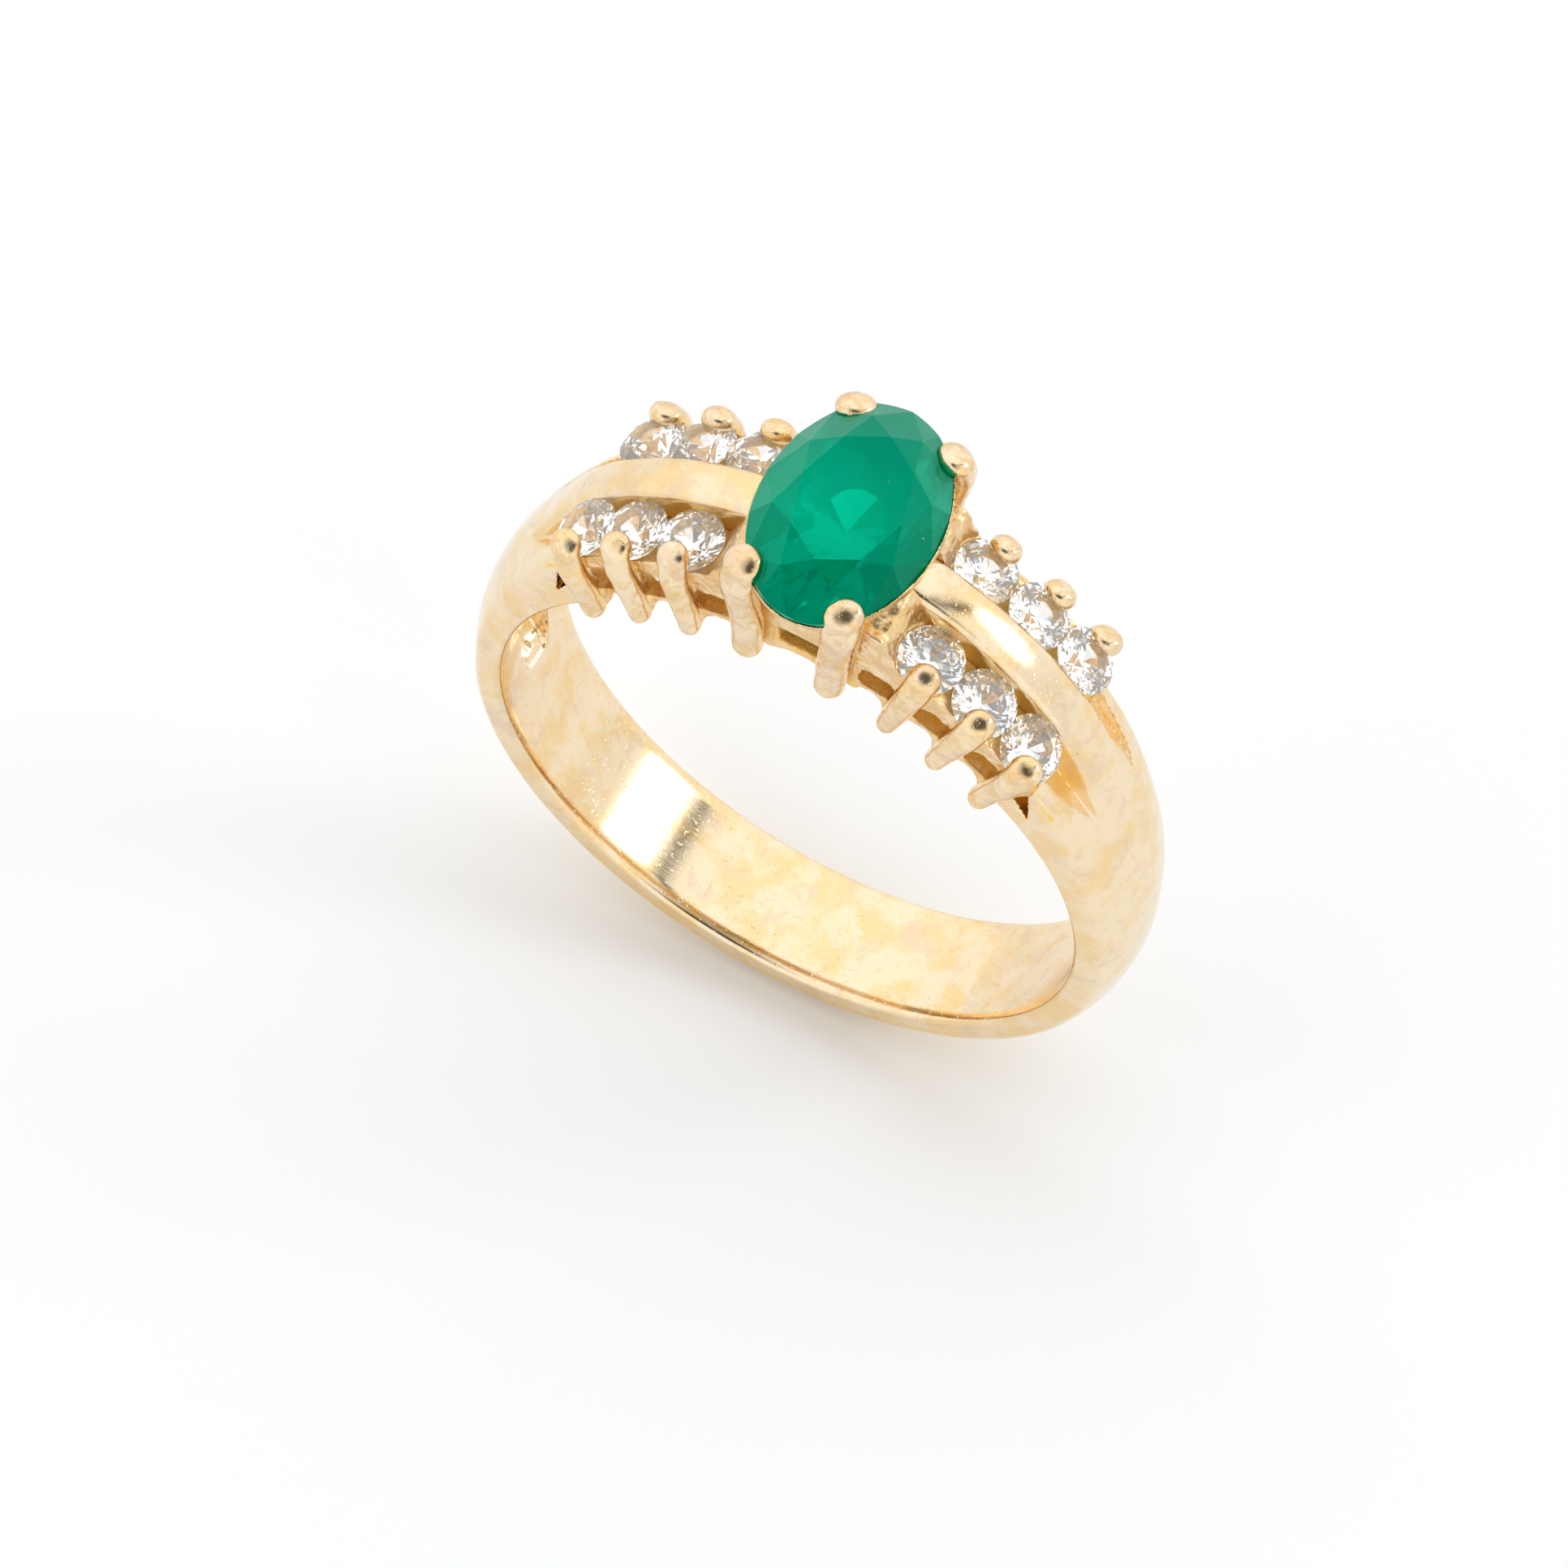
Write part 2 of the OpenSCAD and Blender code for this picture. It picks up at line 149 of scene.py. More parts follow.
def smooth_min(a, b, k):
    h = np.clip(0.5 + 0.5 * (b - a) / k, 0, 1)
    return b * (1 - h) + a * h - k * h * (1 - h)


def smooth_max(a, b, k):
    return -smooth_min(-a, -b, k)


def round_max(a, b, r):
    """The part inside both a and b, with an edge of radius r where they meet."""
    return np.minimum(np.maximum(a, b), -r) + np.hypot(np.maximum(a + r, 0), np.maximum(b + r, 0))


def most(*fields):
    result = fields[0]
    for field in fields[1:]:
        result = np.maximum(result, field)
    return result


def step(low, high, x):
    """0 below low, 1 above high, and a smooth rise between."""
    t = np.clip((x - low) / (high - low), 0, 1)
    return t * t * (3 - 2 * t)


def lattice(ix, iy, iz, seed):
    h = (ix * 73856093) ^ (iy * 19349663) ^ (iz * 83492791) ^ (seed * 2654435761)
    h = (h ^ (h >> 13)) * 1274126177
    return ((h ^ (h >> 16)) & 0xFFFFFF) / 0x7FFFFF - 1


def noise(p, scale, seed=0):
    """Smooth values from -1 to 1 at points p, with features 1 / scale millimetres across."""
    q = p * scale
    cell = np.floor(q).astype(np.int64)
    t = q - cell
    t = t * t * (3 - 2 * t)
    total = np.zeros(len(p))
    for dx in (0, 1):
        for dy in (0, 1):
            for dz in (0, 1):
                weight = np.ones(len(p))
                for axis, d in enumerate((dx, dy, dz)):
                    weight = weight * (t[:, axis] if d else 1 - t[:, axis])
                total += weight * lattice(cell[:, 0] + dx, cell[:, 1] + dy, cell[:, 2] + dz, seed)
    return total


def settle(field, points, reach):
    """Moves points onto the surface where the field is 0, each by no more than reach."""
    h = 0.002
    start = points.copy()
    for _ in range(3):
        value = field(*points.T)
        slope = np.stack([
            (field(*(points + h * e).T) - field(*(points - h * e).T)) / (2 * h) for e in np.eye(3)
        ], 1)
        size = np.maximum((slope ** 2).sum(1), 0.05)
        points = points - (value / size)[:, None] * slope
        points = start + np.clip(points - start, -reach, reach)
    return points


def slide(field, points, axis, reach):
    """Moves points onto the surface where the field is 0 without moving them along one axis."""
    held = points[:, axis].copy()
    points = settle(field, points, reach)
    points[:, axis] = held
    return points


def surface_net(body, low, high, pitch, ends=()):
    """Corner points and four-sided faces of the surface where the field is 0. Each end is a plane
    that cuts the body off square, given as (axis, way, value): way is 1 if the body lies below
    the value and -1 if above."""
    low, high, pitch = np.array(low, float), np.array(high, float), np.array(pitch, float)

    def field(*p):
        return most(body(*p), *[way * (p[axis] - value) for axis, way, value in ends])

    axes = []
    for start, stop, gap in zip(low, high, pitch):
        axes.append(start + gap * np.arange(int(math.ceil((stop - start) / gap)) + 1))
    shape = tuple(len(a) for a in axes)
    value = np.broadcast_to(field(*np.meshgrid(*axes, indexing="ij", sparse=True)), shape)
    inside = value < 0
    corners = [np.array((i, j, k)) for i in (0, 1) for j in (0, 1) for k in (0, 1)]
    cells_shape = [n - 1 for n in shape]
    count = np.zeros(cells_shape, np.int8)
    for i, j, k in corners:
        count += inside[i:cells_shape[0] + i, j:cells_shape[1] + j, k:cells_shape[2] + k]
    cells = np.argwhere((count > 0) & (count < 8))
    at = np.stack([value[tuple((cells + c).T)] for c in corners], 1)
    total = np.zeros((len(cells), 3))
    hits = np.zeros(len(cells))
    for a, corner_a in enumerate(corners):
        for b, corner_b in enumerate(corners):
            if a < b and np.abs(corner_a - corner_b).sum() == 1:
                crosses = (at[:, a] < 0) != (at[:, b] < 0)
                gap = np.where(crosses, at[:, a] - at[:, b], 1)
                t = np.where(crosses, at[:, a] / gap, 0)
                total += crosses[:, None] * (corner_a + t[:, None] * (corner_b - corner_a))
                hits += crosses
    points = low + (cells + total / hits[:, None]) * pitch
    index = np.full(cells_shape, -1, np.int64)
    index[tuple(cells.T)] = np.arange(len(cells))
    faces = []
    for axis in range(3):
        u, v = np.eye(3, dtype=int)[(axis + 1) % 3], np.eye(3, dtype=int)[(axis + 2) % 3]
        before = np.take(inside, range(shape[axis] - 1), axis)
        after = np.take(inside, range(1, shape[axis]), axis)
        edges = np.argwhere(before != after)
        edges = edges[(edges[:, (axis + 1) % 3] > 0) & (edges[:, (axis + 2) % 3] > 0)]
        edges = edges[(edges[:, (axis + 1) % 3] < shape[(axis + 1) % 3] - 1)]
        edges = edges[(edges[:, (axis + 2) % 3] < shape[(axis + 2) % 3] - 1)]
        quad = np.stack([index[tuple((edges - d).T)] for d in (0 * u, u, u + v, v)], 1)
        outward = before[tuple(edges.T)]
        quad[~outward] = quad[~outward][:, ::-1]
        faces.append(quad)
    points = settle(field, points, 0.6 * pitch)
    for axis, way, value in ends:
        corner = (np.abs(points[:, axis] - value) < 0.7 * pitch[axis])
        corner &= np.abs(body(*points.T)) < 0.8 * pitch.min()
        points[corner, axis] = value
        for _ in range(2):
            points[corner] = slide(body, points[corner], axis, 0.8 * pitch)
    return points, np.concatenate(faces)


def bend(points):
    """From unrolled places (distance round, y and radius) to x, y and z."""
    angle = points[:, 0] / UNROLL_R
    return np.stack([points[:, 2] * np.sin(angle), points[:, 1], points[:, 2] * np.cos(angle)], 1)


def vertex_normals(points, faces):
    diagonals = [points[faces[:, k + 2]] - points[faces[:, k]] for k in (0, 1)]
    across = np.cross(*diagonals)
    total = np.zeros_like(points)
    for corner in range(4):
        for axis in range(3):
            total[:, axis] += np.bincount(faces[:, corner], across[:, axis], len(points))
    return total / np.maximum(np.linalg.norm(total, axis=1), 1e-12)[:, None]


def occlusion(field, points, faces, reach):
    """How much the surface is closed in by its own metal, 0 in the open and 1 in a crevice."""
    normals = vertex_normals(points, faces)
    total = np.zeros(len(points))
    for distance in (0.35 * reach, reach):
        total += np.clip(1 - field(*(points + distance * normals).T) / distance, 0, 1)
    return total / 2


def add_mesh(name, points, faces):
    """A mesh object from arrays, with its points in millimetres."""
    mesh = bpy.data.meshes.new(name)
    mesh.vertices.add(len(points))
    mesh.vertices.foreach_set("co", (points * MM).astype(np.float32).ravel())
    corners = faces.shape[1]
    mesh.loops.add(faces.size)
    mesh.loops.foreach_set("vertex_index", faces.astype(np.int32).ravel())
    mesh.polygons.add(len(faces))
    mesh.polygons.foreach_set("loop_start", np.arange(0, faces.size, corners, dtype=np.int32))
    mesh.polygons.foreach_set("loop_total", np.full(len(faces), corners, np.int32))
    mesh.update(calc_edges=True)
    mesh.validate()
    mesh.shade_smooth()
    mesh.set_sharp_from_angle(angle=math.radians(55))
    piece = bpy.data.objects.new(name, mesh)
    bpy.context.scene.collection.objects.link(piece)
    return piece


def metal_piece(name, node, material, points, faces, relief=None, recess_shade_and_dirt=None, flip=(1, 1)):
    """A metal piece in place of a CAD node. relief moves each point along its normal, recess says
    how deep it lies (0 to 1), which its gold paints as shade and dirt, and flip mirrors a front
    right piece to another quarter."""
    if relief is not None:
        points = points + relief(points)[:, None] * vertex_normals(points, faces)
    depth = np.zeros(len(points)) if recess_shade_and_dirt is None else np.clip(recess_shade_and_dirt(points), 0, 1)
    points = points * np.array([flip[0], flip[1], 1])
    if flip[0] * flip[1] < 0:
        faces = faces[:, ::-1]
    piece = add_mesh(name, points, faces)
    layer = piece.data.attributes.new("recess_shade_and_dirt", "FLOAT", "POINT")
    layer.data.foreach_set("value", depth.astype(np.float32))
    piece.data.materials.append(material)
    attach(piece, "root")
    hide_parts(node)
    return piece


# ---- shank and ribbons ----

def crown_drop(y, radius):
    return radius - np.sqrt(np.maximum(radius ** 2 - y ** 2, 0.01))


def shank_crest(theta):
    """Radius of the shank's top line: the band's circle, then the wider arc of the shoulder."""
    phi = theta - SWELL_FROM
    wide = BAND_R + SWELL_SHIFT
    swell = -SWELL_SHIFT * np.cos(phi) + np.sqrt(wide ** 2 - (SWELL_SHIFT * np.sin(phi)) ** 2)
    return np.where(theta < SWELL_FROM, swell, BAND_R)


def ribbon_crest(theta):
    return RIBBON_Z * np.cos(theta) + np.sqrt(RIBBON_R ** 2 - (RIBBON_Z * np.sin(theta)) ** 2)


def bar_half(theta):
    """Half the width of the ribbon's bar, which spreads as it sinks into the shank."""
    degrees = np.degrees(theta)
    return RIBBON_HALF_W + 0.03 * step(24, 42, degrees) + 0.16 * step(42, 58, degrees)


def bar_field(theta, y, r):
    top = r - ribbon_crest(theta) + crown_drop(y, 2.6)
    return round_max(top, np.abs(y) - bar_half(theta), 0.2)


def shoulder_top(theta, y):
    """Radius of the swelling crown, less the channels that run out beside the bar: a ramp at the
    front, a flat strip with a crisp outer wall at the back."""
    degrees = np.degrees(theta)
    beside = np.abs(y) - bar_half(theta)
    crown_r = CROWN_R + 0.9 * (1 - step(44, 66, degrees))
    swell = shank_crest(theta) - crown_drop(y, crown_r)
    fade = 1 - step(44, 60, degrees)
    narrow = np.clip((60.5 - degrees) / 17, 0.05, 1) ** 0.8
    share = beside / (1.3 * narrow)
    ramp = 0.66 * (1 - smooth_min(np.maximum(share, 0), 1 + 0 * share, 0.2))
    strip = 0.36 * (1 - step(0.88, 1, beside / (0.85 * narrow)))
    return swell - fade * np.where(y < 0, ramp, strip) * step(-0.07, 0.03, beside)


def shank_field(s, y, r):
    theta = math.pi - np.abs(math.pi - s / UNROLL_R)
    degrees = np.degrees(theta)
    across = np.abs(y)
    outer = smooth_min(r - shoulder_top(theta, y), bar_field(theta, y, r), 0.1)
    edge = across - (HALF_W + TAPER * r * np.cos(theta))
    body = round_max(outer, edge, 0.2)
    inner = BORE_R + 0.5 * np.maximum(edge + 0.45, 0) ** 2 - r
    body = most(body, inner, (inner + edge) * COS_45 + 0.05)
    width = HOLLOW_HALF_W - 0.35 * step(98, 107, degrees)
    roof = HOLLOW_TOP_R - 1.1 * step(94, 107, degrees)
    hollow = round_max(across - width, r - roof, 0.15)
    left_front = (s > math.pi * UNROLL_R) & (y < 0)
    along = (degrees - 42 - np.where(left_front, LEFT_PIERCING_SHIFT, 0)) * ARC_PER_DEGREE
    hole = most(r - 10.35 + 0.9 * along, 9.7 - 0.25 * along - r, 1.55 - across)
    return most(body, -hollow, -hole)


def shank_relief(points):
    """Hand polish leaves the outside a little uneven, and the hollow is left rough."""
    r = np.hypot(points[:, 0], points[:, 2])
    rough = (np.abs(points[:, 1]) < HOLLOW_HALF_W + 0.02) & (r > BORE_R + 0.06) & (r < 9.75)
    rough = rough & (points[:, 2] > -3.2)
    wave = 0.006 * noise(points, 0.9, 3) + 0.0025 * noise(points, 2.5, 5)
    outside = step(BORE_R + 0.4, BORE_R + 0.9, r)
    grain = 0.03 * noise(points, 3.5, 7) + 0.016 * noise(points, 8, 8)
    return np.where(rough, grain, wave * outside)


# Painted shade: the channels, the hollow and the piercings are painted darker and more amber, and
# the shank is darker and more amber towards the bottom.
def shank_recess(points):
    r = np.hypot(points[:, 0], points[:, 2])
    theta = np.arctan2(np.abs(points[:, 0]), points[:, 2])
    across = np.abs(points[:, 1])
    below = shank_crest(theta) - crown_drop(points[:, 1], CROWN_R) - r
    channel = step(0.25, 0.7, below) * (theta < math.radians(62)) * (r > 9.8) * (across < 1.4)
    hollow = (r > BORE_R + 0.05) & (r < HOLLOW_TOP_R + 0.1) & (across < HOLLOW_HALF_W + 0.05)
    hole = (theta < math.radians(48.2)) & (r > 9.38) & (r < 10.4)
    hole = hole & (across < HALF_W + TAPER * points[:, 2] - 0.04) & (across > 1.4)
    underneath = 0.45 * (1 - step(-9.4, -5.5, points[:, 2])) * (r > 9.3)
    channel = channel * np.where(points[:, 1] < 0, 0.5, 0.2)
    return np.maximum(np.maximum(channel, hollow * 0.12), np.maximum(hole, underneath))


def ribbon_field(s, y, r):
    theta = s / UNROLL_R
    x, z = r * np.sin(theta), r * np.cos(theta)
    under = RIBBON_R - RIBBON_T - np.hypot(x, z - RIBBON_Z)
    bar = bar_field(theta, y, r)
    return most(bar, under, HEAD_HALF_W + 0.02 - x, 0.01 - head_field(x, y, z))


def ribbon_relief(points):
    return 0.007 * noise(points, 1.1, 11) + 0.003 * noise(points, 3, 12)


# Painted shade on the underside of the ribbon's bar.
def ribbon_recess(points):
    out = np.hypot(points[:, 0], points[:, 2] - RIBBON_Z)
    return step(0.08, 0.4, RIBBON_R - out) * 0.8


# ---- galleries ----

def row_top(theta):
    """Radius of the shelf that the accent stones are set in."""
    reach = ROW_R - SHELF_UNDER_GIRDLE
    along = ROW_X * np.sin(theta) + ROW_Z * np.cos(theta)
    return along + np.sqrt(reach ** 2 - ROW_X ** 2 - ROW_Z ** 2 + along ** 2)


def accent_place(face, side, i):
    """Centre, outward axis and direction along the row of a stone, in the front right quarter."""
    angle = math.radians(ACCENT_FIRST + (i - 1) * ACCENT_PITCH + ROW_SHIFT.get((face, side), 0))
    turn = Matrix.Rotation(angle, 3, "Y")
    centre = turn @ Vector((0, -ACCENT_Y, ACCENT_R - (i - 1) * ACCENT_DROP))
    return centre, turn @ Matrix.Rotation(ACCENT_TILT, 3, "X")


def claw_foot_degrees(face, side, i):
    shift = ROW_SHIFT.get((face, side), 0) + FOOT_SHIFT.get((face, side), 0)
    return CLAW_FOOT_FIRST + (i - 1) * CLAW_FOOT_PITCH + shift


def claw_tip_degrees(face, side, i):
    shift = ROW_SHIFT.get((face, side), 0) + TIP_SHIFT.get((face, side), 0)
    return ACCENT_FIRST + (i - 1) * ACCENT_PITCH + CLAW_TIP_PAST + shift


def seen_from(x, y, z, centre, turn):
    """Points in a stone's own frame: two directions across it, then the way out."""
    dx, dy, dz = x - centre[0], y - centre[1], z - centre[2]
    return [turn[0][k] * dx + turn[1][k] * dy + turn[2][k] * dz for k in range(3)]


def seat_field(x, y, z, centre, turn):
    """Room for a stone's girdle and cone and for the hole drilled under it."""
    u, v, w = seen_from(x, y, z, centre, turn)
    rho = np.hypot(u, v)
    girdle = ACCENT_GIRDLE_R + 0.02
    cone = (rho - girdle - (w + ACCENT_GIRDLE / 2) * girdle / ACCENT_PAVILION) * 0.65
    seat = np.maximum(rho - girdle, cone)
    pocket = np.maximum(rho - girdle - 0.08, 0.02 - w)
    return smooth_min(np.minimum(seat, pocket), np.maximum(rho - 0.42, w), 0.06)


def gallery_field(face, side):
    places = [accent_place(face, side, i) for i in STONES]

    def field(s, y, r):
        theta = s / UNROLL_R
        degrees = np.degrees(theta)
        x, z = r * np.sin(theta), r * np.cos(theta)
        v = -y
        ending = step(38, 42, degrees)
        outer_v = WALL_FOOT_Y + WALL_LEAN * (r - WALL_FOOT_R)
        outer_v = outer_v * (1 - ending) + (HALF_W + TAPER * z) * ending
        outer = v - outer_v
        behind = WALL_FOOT_Y - WALL_T + 0.07 * (r - WALL_FOOT_R) - v
        wall = round_max(outer, behind, 0.1)
        wall = round_max(wall, WALL_FOOT_R - r, 0.14)
        shelf = round_max(most(RIBBON_HALF_W - 0.02 - v, outer), SHELF_LOW_R - r, 0.1)
        body = smooth_min(wall, shelf, 0.12)
        for i in STONES:
            low, high = claw_foot_degrees(face, side, i), claw_tip_degrees(face, side, i)
            share = (r - CLAW_FOOT_R) / 2.8
            along = np.abs(degrees - low - (high - low) * share) * DEGREE * r
            fin = round_max(along - 0.31, v - outer_v - 0.16, 0.12)
            fin = round_max(most(fin, behind, r - row_top(theta) + 0.1), WALL_FOOT_R - r, 0.14)
            body = smooth_min(body, fin, 0.22)
        rise = 1.4 * (1 - step(10.2, 15.5, degrees)) * (1 - 0.35 * step(1.2, 2.2, v))
        top = row_top(theta) + 0.05 * step(2.0, 2.3, v) + rise
        ended = step(39.6, 41.9, degrees)
        top = top * (1 - ended) + shoulder_top(SHOULDER, y) * ended
        body = round_max(body, r - top, 0.07)
        for i in STONES:
            between_claws = math.radians(claw_foot_degrees(face, side, i - 0.5))
            along = (theta - between_claws) * r
            past_side = np.maximum(np.abs(along) - WINDOW_HALF_W, 0)
            past_top = np.maximum(np.abs(r - WINDOW_R) - WINDOW_HALF_H, 0)
            window = np.hypot(past_side, past_top) - WINDOW_CORNER
            arch = np.hypot(along, r - ARCH_CENTRE_R) - ARCH_R
            body = smooth_max(body, -window, 0.06)
            body = smooth_max(body, -arch, 0.1)
        for centre, turn in places:
            body = smooth_max(body, -seat_field(x, y, z, centre, turn), 0.04)
        return most(body, HEAD_HALF_W - 0.1 - x)

    return field


def gallery_relief(points):
    """Left as cast: lumps and grains that no polishing wheel could reach."""
    return (0.03 * noise(points, 2.2, 21) + 0.022 * noise(points, 5.5, 22)
            + 0.010 * noise(points, 13, 23))


def gallery_recess(points, hidden):
    """Painted shade: deep places are dark, and so is the inside of the wall below the cup. The
    wall's outside and the metal beside the cup are left light.
    """
    outside = step(1.9, 2.2, np.abs(points[:, 1]))
    inner = (1 - outside) * (1 - step(11.6, 12.3, np.hypot(points[:, 0], points[:, 2])))
    return np.maximum(2.4 * hidden - 0.2, 0.9 * inner) + 0.1


# ---- centre head ----

def centre_axes():
    return Matrix.Rotation(CENTRE_LEFT_UP, 3, "Y") @ Matrix.Rotation(CENTRE_BACK_UP, 3, "X")


def oval_field(x, y, z, grow):
    """The centre stone, near enough for the metal that it rests in: oval above, cone below."""
    u, v, w = seen_from(x, y, z, (0, 0, CENTRE_Z), centre_axes())
    rho = np.hypot(u / (CENTRE_W / 2 + grow), v / (CENTRE_LEN / 2 + grow))
    below = rho - 1 - (w + CENTRE_GIRDLE / 2 + grow) / CENTRE_PAVILION
    above = rho - 1 + (w - CENTRE_GIRDLE / 2 - grow) * (1 - CENTRE_TABLE) / CENTRE_CROWN
    return most(rho - 1, below, above) * 1.9


def head_field(x, y, z):
    ax, ay = np.abs(x), np.abs(y)
    lean = ay - WALL_FOOT_Y - 0.06 * (z - WALL_FOOT_R)
    box = round_max(ax - HEAD_HALF_W, lean, 0.12)
    box = round_max(box, WALL_FOOT_R - z, 0.14)
    box = round_max(box, z - HEAD_BOX_TOP, 0.2)
    flare = step(12.0, 13.45, z)
    cup = (np.hypot(x / (2.1 + 0.47 * flare), y / (2.75 + 0.77 * flare)) - 1) * 2.3
    cup = most(cup, 12.1 - z, z - CUP_RIM_Z - 0.02 * x - 0.03 * y)
    body = smooth_min(box, cup, 0.25)
    body = smooth_max(body, -oval_field(x, y, z, 0.02), 0.03)
    body = smooth_max(body, -most(ax - 1.3, ay - 1.8, z - 11.9), 0.1)
    slot = most(ax - HEAD_SLOT_HALF_W - 0.12 * (z - 10), np.abs(z - HEAD_SLOT_Z) - HEAD_SLOT_HALF_H)
    body = smooth_max(body, -slot, 0.12)
    body = smooth_max(body, -(np.hypot(x, z - HEAD_ARCH_Z) - HEAD_ARCH_R), 0.12)
    return body


def head_relief(points):
    lumps = 0.016 * noise(points, 1.8, 31) + 0.012 * noise(points, 5, 32)
    lumps += 0.008 * noise(points, 12, 33)
    return lumps * (1 - 0.85 * step(13.0, 13.35, points[:, 2]))


# Painted shade: the head's inner faces and its slot are darker and more amber; the outer sides and
# the top are left light.
def head_recess(points):
    outside = np.maximum(step(2.15, 2.3, np.abs(points[:, 1])), step(12.3, 12.8, points[:, 2]))
    slot = (np.abs(points[:, 0]) < 0.8) & (np.abs(points[:, 2] - HEAD_SLOT_Z) < 0.4)
    return np.maximum(1 - 0.8 * outside, slot * 0.9)


# ---- claws ----

def blade_field(x, y, z, foot, tip, side, half_w, half_t, ends, bow):
    """A claw drawn from foot to tip: rounded all round, with half widths and half thicknesses
    given as (foot, tip), rounded ends of the given lengths, and bow(share) saying how far it
    stands out from the straight line."""
    foot, tip, side = np.array(foot), np.array(tip), np.array(side)
    length = np.linalg.norm(tip - foot)
    along = (tip - foot) / length
    side = side - along * side.dot(along)
    side = side / np.linalg.norm(side)
    out = np.cross(along, side)
    out = out if out[1] * foot[1] > 0 else -out
    dx, dy, dz = x - foot[0], y - foot[1], z - foot[2]
    a = (dx * along[0] + dy * along[1] + dz * along[2]) / length
    t = np.clip(a, 0, 1)
    w = half_w[0] + (half_w[1] - half_w[0]) * t
    h = half_t[0] + (half_t[1] - half_t[0]) * t
    across = np.abs(dx * side[0] + dy * side[1] + dz * side[2]) / w
    depth = np.abs(dx * out[0] + dy * out[1] + dz * out[2] - bow(a)) / h
    beyond = np.maximum(-a, 0) * length / ends[0] + np.maximum(a - 1, 0) * length / ends[1]
    section = across ** 2 + depth ** 2
    return (np.sqrt(section + beyond ** 2) - 1) * np.minimum(w, h)


def accent_bow(share):
    """The claw swells out a little, then its tip curls in over the stone."""
    return 0.05 * step(0.2, 0.7, share) - 0.2 * step(0.74, 1.08, share)


def polar(degrees, r, y):
    angle = math.radians(degrees)
    return np.array([r * math.sin(angle), y, r * math.cos(angle)])


def accent_claw_field(face, side, i):
    tip_degrees = claw_tip_degrees(face, side, i)
    girdle_r = ACCENT_R - (i - 1) * ACCENT_DROP
    foot = polar(claw_foot_degrees(face, side, i), CLAW_FOOT_R + 0.12, -CLAW_FOOT_Y)
    tip = polar(tip_degrees, girdle_r + 0.24 - TIP_DROP.get((face, side), 0), -ACCENT_Y - 0.88)
    across = polar(tip_degrees + 90, 1, 0)
    centre, turn = accent_place(face, side, i)

    def field(x, y, z):
        claw = blade_field(
            x, y, z, foot, tip, across, half_w=(0.31, 0.47), half_t=(0.34, 0.42),
            ends=(0.3, 0.46), bow=accent_bow)
        filed = (x - tip[0]) * 0.12 - (y - tip[1]) * 0.45 + (z - tip[2]) * 0.885 - 0.29
        claw = smooth_max(claw, filed, 0.2)
        u, v, w = seen_from(x, y, z, centre, turn)
        rho = np.hypot(u, v)
        girdle = ACCENT_GIRDLE_R + STONE_GAP
        crown_slope = (1 - ACCENT_TABLE) * girdle / ACCENT_CROWN
        crown = (rho - girdle + (w - ACCENT_GIRDLE / 2) * crown_slope) * 0.6
        cone = (rho - girdle - (w + ACCENT_GIRDLE / 2) * girdle / ACCENT_PAVILION) * 0.65
        stone = most(rho - girdle, crown, cone)
        return most(claw, -stone, BORE_R + BORE_GAP - np.hypot(x, z))

    ends = np.array([foot, tip])
    return field, ends.min(0) - 0.55, ends.max(0) + 0.55


def claw_relief(points):
    return 0.013 * noise(points, 1.8, 41) + 0.008 * noise(points, 4.5, 42)


def claw_recess(points):
    """Painted shade, with some darker patina: the lower part of a claw's sides, back from its outer
    face, is darker and more amber.
    """
    low = 1 - step(11.4, 11.8, np.hypot(points[:, 0], points[:, 2]))
    return 0.7 * low * (1 - step(2.3, 2.62, np.abs(points[:, 1])))


# Painted shade: the lower part of the claw's inner side is darker and more amber.
def main_claw_recess(points):
    return 0.6 * (1 - step(2.35, 2.75, np.abs(points[:, 1]))) * (1 - step(12.6, 13.2, points[:, 2]))


def main_bow(share):
    return 0.25 * step(0.25, 0.85, share) - 0.3 * step(0.84, 1.1, share)


def main_claw_field(face, side):
    """The field is in the ring's own frame, not mirrored, because the stone leans."""
    sx = -1 if side == "left" else 1
    sy = -1 if face == "front" else 1
    places = []
    for x, y, z in (MAIN_CLAW_FOOT, MAIN_CLAW_TIP):
        share = (z - MAIN_CLAW_LEVEL_Z) / (MAIN_CLAW_TIP[2] - MAIN_CLAW_LEVEL_Z)
        lift = share * (sy * y * math.sin(CENTRE_BACK_UP) - sx * x * math.sin(CENTRE_LEFT_UP))
        places.append(np.array([sx * (x + 0.18 * sy * sx), sy * y, z + lift]))
    foot, tip = places
    across = np.array([1.0, -0.45 * sx * sy, 0])

    def field(x, y, z):
        claw = blade_field(
            x, y, z, foot, tip, across, half_w=(0.44, 0.56), half_t=(0.42, 0.48),
            ends=(0.34, 0.42), bow=main_bow)
        filed = (x - tip[0]) * 0.12 * sx + (y - tip[1]) * 0.42 * sy + (z - tip[2]) * 0.9 - 0.36
        claw = smooth_max(claw, filed, 0.22)
        return most(claw, -oval_field(x, y, z, STONE_GAP), BORE_R + BORE_GAP - np.hypot(x, z))

    ends = np.array([foot, tip])
    return field, ends.min(0) - 0.9, ends.max(0) + 0.9


# ---- cut stones ----

